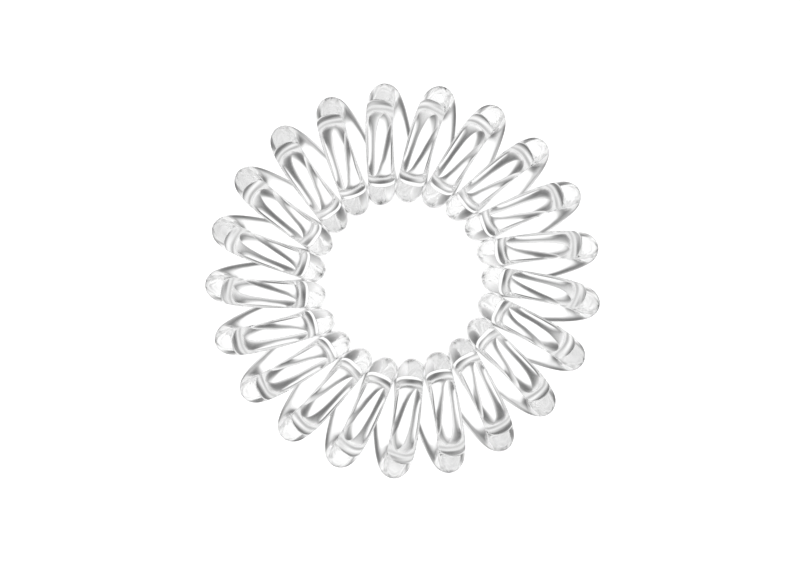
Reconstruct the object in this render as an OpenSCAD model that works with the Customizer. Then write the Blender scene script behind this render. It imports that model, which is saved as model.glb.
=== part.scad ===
// Spiral hair tie: one clear plastic cord, wound into a round coil that closes
// on itself around the hole that the hair goes through. It lies flat on z = 0,
// with the axis of the hole along Z.

/* [Cord] */
// Diameter of the cord
cord_d = 2.72; // [1.6:0.02:3.4]

/* [Coil] */
// Outside diameter of the coil, which is also how high the tie lies
coil_d = 12.06; // [9:0.02:18]
// Turns of cord around the ring
turns = 21; // [15:1:30]
// Clear gap between neighbouring turns, where they crowd together at the hole
turn_gap = 0.04; // [0.04:0.01:0.8]
// Direction of the outer bend that the turns are counted from, in degrees from +X
first_bend = 95.3; // [0:0.1:360]

/* [Facets] */
// Flat sides around the cord
cord_sides = 10; // [8:1:14]

/* [Hidden] */

cord_r = cord_d / 2;
coil_r = coil_d / 2;
// Radius at which the middle of the cord winds around the middle of the coil
wind_r = coil_r - cord_r;
// At the hole the turns lie this far apart, square to the cord and along the ring
square_pitch = cord_d + turn_gap;
hole_slant = asin(square_pitch / (2 * PI * wind_r));
hole_pitch = square_pitch / cos(hole_slant);
// Radius of the open hole, and of the circle that the coil is wound around
hole_r = turns * hole_pitch / (2 * PI) - cord_r;
ring_r = hole_r + coil_r;
// Most triangles that the surface is drawn with, and the rings of points that
// they leave for each turn: a multiple of 4, so that one ring lies on each of
// the outermost, highest, innermost and lowest points of the turn
most_triangles = 10500;
quarter_rings = floor(most_triangles / (2 * cord_sides * turns) / 4);
turn_rings = 4 * quarter_rings;
ring_count = turns * turn_rings;
cord_color = [0.87, 0.88, 0.89];

// A point on the cord's surface. wound is the angle that the cord has wound
// around the coil, and around is the angle around the cord; both are 0 where
// they face away from the hole.
function surface_point(wound, around) =
    let (
        ring_angle = first_bend + wound / turns,
        middle_r = ring_r + wind_r * cos(wound),
        slant = atan(middle_r / turns / wind_r),
        outward = cord_r * cos(around),
        sideways = cord_r * sin(around),
        r = middle_r + outward * cos(wound) + sideways * sin(slant) * sin(wound),
        along = sideways * cos(slant),
        z = coil_r + (wind_r + outward) * sin(wound) - sideways * sin(slant) * cos(wound)
    )
    [
        r * cos(ring_angle) - along * sin(ring_angle),
        r * sin(ring_angle) + along * cos(ring_angle),
        z
    ];

// Number of a point in the list, where the rings and the sides both close
function point_number(ring, side) = (ring % ring_count) * cord_sides + side % cord_sides;

module coil() {
    points = [
        for (ring = [0 : ring_count - 1])
            for (side = [0 : cord_sides - 1])
                surface_point(ring * 360 / turn_rings, side * 360 / cord_sides)
    ];
    faces = [
        for (ring = [0 : ring_count - 1])
            for (side = [0 : cord_sides - 1])
                let (
                    a = point_number(ring, side),
                    b = point_number(ring + 1, side),
                    c = point_number(ring + 1, side + 1),
                    d = point_number(ring, side + 1)
                )
                each [[a, b, c], [a, c, d]]
    ];
    color(cord_color) polyhedron(points, faces, convexity = 10);
}

coil();
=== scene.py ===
# A spiral hair tie of clear plastic cord, lying flat on a pale lit table and seen from
# straight above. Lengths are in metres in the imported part's frame. Those of the tie and of
# the camera are written in millimetres.
import math

import bpy
import numpy as np
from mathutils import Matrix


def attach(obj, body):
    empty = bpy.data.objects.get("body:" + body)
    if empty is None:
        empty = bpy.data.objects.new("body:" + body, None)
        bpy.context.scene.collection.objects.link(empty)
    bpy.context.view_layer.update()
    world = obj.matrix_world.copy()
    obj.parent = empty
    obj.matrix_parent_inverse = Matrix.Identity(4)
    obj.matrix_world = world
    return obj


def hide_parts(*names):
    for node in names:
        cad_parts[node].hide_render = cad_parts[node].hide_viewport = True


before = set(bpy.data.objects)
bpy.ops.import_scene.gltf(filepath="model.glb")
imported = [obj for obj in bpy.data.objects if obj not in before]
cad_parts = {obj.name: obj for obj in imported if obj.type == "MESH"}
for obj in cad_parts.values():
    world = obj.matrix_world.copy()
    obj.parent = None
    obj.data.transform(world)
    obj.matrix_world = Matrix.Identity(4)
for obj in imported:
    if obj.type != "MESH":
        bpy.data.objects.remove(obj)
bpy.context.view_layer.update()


# The coil is one endless clear cord. It was extruded in thermoplastic polyurethane,
# wound left-handed around a rod, set by heat, and its two ends were welded into a ring.
MM = 0.001
CORD_R = 1.36
COIL_R = 6.03
WIND_R = COIL_R - CORD_R
TURNS = 21
TURN_GAP = 0.04
FIRST_BEND = math.radians(95.3)
SQUARE_PITCH = 2 * CORD_R + TURN_GAP
HOLE_SLANT = math.asin(SQUARE_PITCH / (2 * math.pi * WIND_R))
HOLE_R = TURNS * SQUARE_PITCH / math.cos(HOLE_SLANT) / (2 * math.pi) - CORD_R
RING_R = HOLE_R + COIL_R
# Rings of points along each turn, and points around the cord
TURN_RINGS = 84
CORD_POINTS = 54

# How far each ring of points has wound around the coil, and each point around the cord
ring_count = TURNS * TURN_RINGS
ring = np.arange(ring_count)[:, None]
side = np.arange(CORD_POINTS)[None, :]
wound = ring * 2 * math.pi / TURN_RINGS
around = side * 2 * math.pi / CORD_POINTS
ring_angle = FIRST_BEND + wound / TURNS
middle_r = RING_R + WIND_R * np.cos(wound)
slant = np.arctan(middle_r / TURNS / WIND_R)
outward = CORD_R * np.cos(around)
sideways = CORD_R * np.sin(around)
reach = middle_r + outward * np.cos(wound) + sideways * np.sin(slant) * np.sin(wound)
along = sideways * np.cos(slant)
height = COIL_R + (WIND_R + outward) * np.sin(wound) - sideways * np.sin(slant) * np.cos(wound)
points = np.stack(
    [
        reach * np.cos(ring_angle) - along * np.sin(ring_angle),
        reach * np.sin(ring_angle) + along * np.cos(ring_angle),
        height,
    ],
    axis=-1,
).reshape(-1, 3) * MM

# Each face joins two neighbouring points of one ring to the same two of the next
next_ring = (ring + 1) % ring_count
next_side = (side + 1) % CORD_POINTS
faces = np.stack(
    [
        ring * CORD_POINTS + side,
        ring * CORD_POINTS + next_side,
        next_ring * CORD_POINTS + next_side,
        next_ring * CORD_POINTS + side,
    ],
    axis=-1,
).reshape(-1, 4)
coil_mesh = bpy.data.meshes.new("clear_coil")
coil_mesh.from_pydata(points.tolist(), [], faces.tolist())
coil_mesh.shade_smooth()
# Direction around the cord at each point, which the marks of extrusion follow
directions = np.zeros((ring_count, CORD_POINTS, 3))
directions[..., 0] = np.cos(around)
directions[..., 1] = np.sin(around)
around_cord = coil_mesh.attributes.new("around_cord", "FLOAT_VECTOR", "POINT")
around_cord.data.foreach_set("vector", directions.ravel())
coil = bpy.data.objects.new("clear_coil", coil_mesh)
bpy.context.scene.collection.objects.link(coil)


def linear(hex_colour):
    """The linear RGBA colour of an sRGB hex value such as 'F2F4F5'."""
    channels = [int(hex_colour[i : i + 2], 16) / 255 for i in (0, 2, 4)]
    return [c / 12.92 if c <= 0.04045 else ((c + 0.055) / 1.055) ** 2.4 for c in channels] + [1.0]


def add_node(tree, kind, settings, links):
    """Adds a node. settings has its properties and inputs, links the outputs that feed it."""
    node = tree.nodes.new(kind)
    for name, value in settings.items():
        if isinstance(name, int) or name in node.inputs:
            node.inputs[name].default_value = value
        else:
            setattr(node, name, value)
    for name, output in links.items():
        tree.links.new(output, node.inputs[name])
    return node


# Clear extruded TPU: glossy, colourless and a little soft to look through, so it shows as
# grey lines of bent light and pale domes. Marks of the die run along the cord, and heat
# setting leaves slow waves in its surface.
clear_tpu = bpy.data.materials.new("clear_extruded_TPU")
clear_tpu.use_nodes = True
tpu_tree = clear_tpu.node_tree
tpu_shader = tpu_tree.nodes["Principled BSDF"]
tpu_shader.inputs["Base Color"].default_value = linear("FBFBFB")
tpu_shader.inputs["Transmission Weight"].default_value = 1.0
# TPU has about 1.5. At 1.26 the dark bands are as narrow as on the real cord.
tpu_shader.inputs["IOR"].default_value = 1.262
place = add_node(tpu_tree, "ShaderNodeTexCoord", {}, {}).outputs["Object"]
section = add_node(tpu_tree, "ShaderNodeAttribute", {"attribute_name": "around_cord"}, {})

# Waves of about 2.5 mm
waves = add_node(
    tpu_tree,
    "ShaderNodeTexNoise",
    {"Scale": 400.0, "Detail": 1.0, "Roughness": 0.4},
    {"Vector": place},
)
wave_bump = add_node(
    tpu_tree,
    "ShaderNodeBump",
    {"Strength": 1.0, "Distance": 0.08 * MM},
    {"Height": waves.outputs[0]},
)
# Real die marks are 0.02 to 0.05 mm apart, too fine to show, so these are about 0.15 mm
# apart. They are at most 0.0002 mm deep, and each runs on for about 37 mm.
drift = add_node(
    tpu_tree,
    "ShaderNodeVectorMath",
    {"operation": "SCALE", "Scale": 3.0},
    {0: place},
)
die_place = add_node(
    tpu_tree,
    "ShaderNodeVectorMath",
    {"operation": "ADD"},
    {0: section.outputs["Vector"], 1: drift.outputs[0]},
)
die_marks = add_node(
    tpu_tree,
    "ShaderNodeTexNoise",
    {"Scale": 9.0, "Detail": 2.0, "Roughness": 0.6},
    {"Vector": die_place.outputs[0]},
)
die_bump = add_node(
    tpu_tree,
    "ShaderNodeBump",
    {"Strength": 1.0, "Distance": 0.0002 * MM},
    {"Height": die_marks.outputs[0], "Normal": wave_bump.outputs[0]},
)
tpu_tree.links.new(die_bump.outputs[0], tpu_shader.inputs["Normal"])
# Handling leaves patches of about 1.4 mm that are a little duller
dullness = add_node(
    tpu_tree,
    "ShaderNodeTexNoise",
    {"Scale": 700.0, "Detail": 3.0, "Roughness": 0.6},
    {"Vector": place},
)
roughness = add_node(
    tpu_tree,
    "ShaderNodeMapRange",
    {"From Min": 0.3, "From Max": 0.7, "To Min": 0.0, "To Max": 0.004},
    {"Value": dullness.outputs[0]},
)
tpu_tree.links.new(roughness.outputs[0], tpu_shader.inputs["Roughness"])
coil_mesh.materials.append(clear_tpu)
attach(coil, "root")
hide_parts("coil")


# The table is a pale sheet that glows with painted light as well, as if lit from below, so the
# tie hardly shades it, and it curves up far away on every side. Light that the tie bends passes
# the sheet, as if the tie lay on glass, and comes from the tent and the light box.
FLAT_R = 0.6
CURVE_R = 0.5
CURVE_STEPS = 16
WALL_TOP = 2.0
# How far the sheet lies under the tie, so that the two don't share a surface
SHEET_DROP = 0.02 * MM
# Sides of every circle in the sheet and in the light box
SIDES = 96


def circle(radius, level):
    """Points of a level circle around the axis of the tie."""
    angles = [2 * math.pi * k / SIDES for k in range(SIDES)]
    return [(radius * math.cos(a), radius * math.sin(a), level) for a in angles]


profile = [(FLAT_R, 0.0)]
for step in range(1, CURVE_STEPS + 1):
    bend = math.radians(90) * step / CURVE_STEPS
    profile.append((FLAT_R + CURVE_R * math.sin(bend), CURVE_R * (1 - math.cos(bend))))
profile.append((FLAT_R + CURVE_R, WALL_TOP))
sheet_points = [(0.0, 0.0, 0.0)]
for radius, level in profile:
    sheet_points += circle(radius, level)
# Triangles from the middle point to the first circle, which comes next in the list
disc_faces = [(0, 1 + k, 1 + (k + 1) % SIDES) for k in range(SIDES)]
sheet_faces = list(disc_faces)
for band in range(len(profile) - 1):
    inner = 1 + band * SIDES
    outer = inner + SIDES
    for k in range(SIDES):
        after = (k + 1) % SIDES
        sheet_faces.append((inner + k, outer + k, outer + after, inner + after))
sheet_mesh = bpy.data.meshes.new("pale_sheet")
sheet_mesh.from_pydata(sheet_points, [], sheet_faces)
sheet_mesh.shade_smooth()
pale_sheet = bpy.data.objects.new("pale_sheet", sheet_mesh)
pale_sheet.location.z = -SHEET_DROP
bpy.context.scene.collection.objects.link(pale_sheet)
pale_sheet.visible_transmission = False
pale_sheet.visible_glossy = False
pale_sheet.visible_diffuse = False
pale_sheet.visible_shadow = False

# White paper, matt, that glows with painted light as if lit from below, so it shows no grain and
# next to no shadow. This painted glow, a pool of light around the tie, is full out to the first
# distance from the middle, and gone at the second.
GLOW = 0.62
GLOW_FULL_R = 0.08
GLOW_END_R = 1.15
white_paper = bpy.data.materials.new("white_paper_painted_glow")
white_paper.use_nodes = True
paper_tree = white_paper.node_tree
paper_shader = paper_tree.nodes["Principled BSDF"]
paper_shader.inputs["Base Color"].default_value = linear("E0E0E0")
paper_shader.inputs["Roughness"].default_value = 0.9
paper_shader.inputs["Specular IOR Level"].default_value = 0.0
paper_shader.inputs["Emission Color"].default_value = linear("FFFFFF")
paper_place = add_node(paper_tree, "ShaderNodeTexCoord", {}, {})
away = add_node(
    paper_tree,
    "ShaderNodeVectorMath",
    {"operation": "LENGTH"},
    {0: paper_place.outputs["Object"]},
)
# Painted light: the paper's own glow, full near the tie and fading to none far away
painted_glow = add_node(
    paper_tree,
    "ShaderNodeMapRange",
    {"From Min": GLOW_FULL_R, "From Max": GLOW_END_R, "To Min": GLOW, "To Max": 0.0},
    {"Value": away.outputs["Value"]},
)
paper_tree.links.new(painted_glow.outputs[0], paper_shader.inputs["Emission Strength"])
sheet_mesh.materials.append(white_paper)


# The light is a soft white tent around the tie, and a light box under the glass. The box is a
# bright square in a dim ring, with four lamps past its corners and a dim edge. The tent is
# dimmer level with the table, and two white panels stand in it, with darker openings between.
BOX_DEPTH = 0.195
# Angle from straight down at which the box ends, as the tie sees it
BOX_EDGE = math.radians(63.0)
# Angle from straight down in degrees, as the tie sees it, brightness toward the square's
# corners and toward its sides, and the share of it left between the two panels
TENT = (
    (0, 1.2, 1.2, 1.0),
    (19, 1.15, 1.1, 1.0),
    (20, 1.15, 1.0, 1.0),
    (22, 1.0, 0.35, 1.0),
    (24, 0.78, 0.22, 1.0),
    (28, 0.4, 0.15, 1.0),
    (32, 0.66, 0.18, 1.0),
    (36, 0.82, 0.15, 1.0),
    (42, 1.03, 0.3, 1.0),
    (46, 1.05, 0.42, 1.0),
    (50, 1.0, 0.8, 1.0),
    (53, 0.8, 0.87, 1.0),
    (56, 0.65, 0.87, 1.0),
    (59, 0.48, 0.8, 1.0),
    (62, 0.55, 0.65, 1.0),
    (65, 0.85, 0.75, 1.0),
    (69, 0.95, 0.88, 1.0),
    (78, 0.9, 0.9, 1.0),
    (86, 0.7, 0.7, 1.0),
    (91, 0.6, 0.6, 1.0),
    (96, 0.7, 0.7, 1.0),
    (100, 1.2, 1.2, 0.65),
    (112, 1.3, 1.3, 0.55),
    (118, 1.15, 1.15, 0.8),
    (125, 1.05, 1.05, 0.7),
    (141, 1.1, 1.1, 0.8),
    (150, 0.85, 0.85, 0.5),
    (162, 1.2, 1.2, 0.9),
)
# The square's four corners and the two panels: how many there are around the tie, the
# heading of the first one in degrees, and how soft its edges are, from 0 to 1
CORNERS = (4, 35, 1.0)
PANELS = (2, 28, 0.35)


def tent_light(tree, toward):
    """Adds the tent's brightness in the direction of the output toward, of length 1."""
    axes = add_node(tree, "ShaderNodeSeparateXYZ", {}, {0: toward})
    rise = add_node(
        tree,
        "ShaderNodeMapRange",
        {"From Min": -1.0, "From Max": 1.0},
        {"Value": axes.outputs["Z"]},
    )
    # The ramp holds the brightness toward the corners in its red, the one toward the sides
    # in its green, and the share left between the panels in its blue
    bands = add_node(tree, "ShaderNodeValToRGB", {}, {0: rise.outputs[0]})
    stops = bands.color_ramp.elements
    while len(stops) < len(TENT):
        stops.new(0.5)
    for stop, (degrees, *levels) in zip(stops, TENT):
        stop.position = (1 - math.cos(math.radians(degrees))) / 2
        stop.color = (*levels, 1)
    parts = add_node(tree, "ShaderNodeSeparateColor", {}, {0: bands.outputs[0]})
    heading = add_node(
        tree,
        "ShaderNodeMath",
        {"operation": "ARCTAN2"},
        {0: axes.outputs["Y"], 1: axes.outputs["X"]},
    )
    nearness = []
    for count, first, softness in (CORNERS, PANELS):
        turned = add_node(
            tree,
            "ShaderNodeMath",
            {"operation": "MULTIPLY_ADD", 1: float(count), 2: -count * math.radians(first)},
            {0: heading.outputs[0]},
        )
        wave = add_node(
            tree,
            "ShaderNodeMath",
            {"operation": "COSINE"},
            {0: turned.outputs[0]},
        )
        near = add_node(
            tree,
            "ShaderNodeMapRange",
            {"From Min": -softness, "From Max": softness},
            {"Value": wave.outputs[0]},
        )
        nearness.append(near.outputs[0])
    near_corner, near_panel = nearness
    brightness = add_node(
        tree,
        "ShaderNodeMix",
        {},
        {0: near_corner, 2: parts.outputs["Green"], 3: parts.outputs["Red"]},
    )
    share = add_node(
        tree,
        "ShaderNodeMix",
        {3: 1.0},
        {0: near_panel, 2: parts.outputs["Blue"]},
    )
    light = add_node(
        tree,
        "ShaderNodeMath",
        {"operation": "MULTIPLY"},
        {0: brightness.outputs[0], 1: share.outputs[0]},
    )
    return light.outputs[0]


world = bpy.data.worlds.new("soft_tent")
bpy.context.scene.world = world
world.use_nodes = True
world_tree = world.node_tree
sky_place = add_node(world_tree, "ShaderNodeTexCoord", {}, {})
sky_light = tent_light(world_tree, sky_place.outputs["Generated"])
world_tree.links.new(sky_light, world_tree.nodes["Background"].inputs["Color"])

# The light box is near, so the lower half of each turn sees it larger than the upper half
box_r = BOX_DEPTH * math.tan(BOX_EDGE)
box_mesh = bpy.data.meshes.new("light_box")
box_mesh.from_pydata([(0.0, 0.0, -BOX_DEPTH)] + circle(box_r, -BOX_DEPTH), [], disc_faces)
light_box = bpy.data.objects.new("light_box", box_mesh)
bpy.context.scene.collection.objects.link(light_box)
light_box.visible_camera = False
lit_diffuser = bpy.data.materials.new("lit_diffuser")
lit_diffuser.use_nodes = True
lit_diffuser.cycles.emission_sampling = "NONE"
box_tree = lit_diffuser.node_tree
box_shader = box_tree.nodes["Principled BSDF"]
box_shader.inputs["Base Color"].default_value = linear("000000")
box_shader.inputs["Specular IOR Level"].default_value = 0.0
box_shader.inputs["Emission Strength"].default_value = 1.0
box_place = add_node(box_tree, "ShaderNodeTexCoord", {}, {})
toward_box = add_node(
    box_tree,
    "ShaderNodeVectorMath",
    {"operation": "NORMALIZE"},
    {0: box_place.outputs["Object"]},
)
box_light = tent_light(box_tree, toward_box.outputs[0])
box_tree.links.new(box_light, box_shader.inputs["Emission Color"])
box_mesh.materials.append(lit_diffuser)


# The camera looks straight down from 120 mm above the middle of the coil, and its frame is
# 80.95 mm wide there. As in the photo, the tie lies a little off the middle of the frame.
CAMERA_HEIGHT = 120.0
CAMERA_X = -0.32
CAMERA_Y = -0.193
FRAME_WIDTH = 80.95
SENSOR_WIDTH = 36.0
camera_data = bpy.data.cameras.new("camera")
camera_data.sensor_width = SENSOR_WIDTH
camera_data.lens = SENSOR_WIDTH * CAMERA_HEIGHT / FRAME_WIDTH
camera_data.clip_start = 1 * MM
camera = bpy.data.objects.new("camera", camera_data)
camera.location = (CAMERA_X * MM, CAMERA_Y * MM, (CAMERA_HEIGHT + COIL_R) * MM)
bpy.context.scene.collection.objects.link(camera)
scene = bpy.context.scene
scene.camera = camera
scene.view_settings.view_transform = "Standard"
# Light crosses and mirrors in many faces of the cord before it comes out
MOST_BOUNCES = 32
scene.cycles.max_bounces = MOST_BOUNCES
scene.cycles.transmission_bounces = MOST_BOUNCES
scene.cycles.glossy_bounces = MOST_BOUNCES
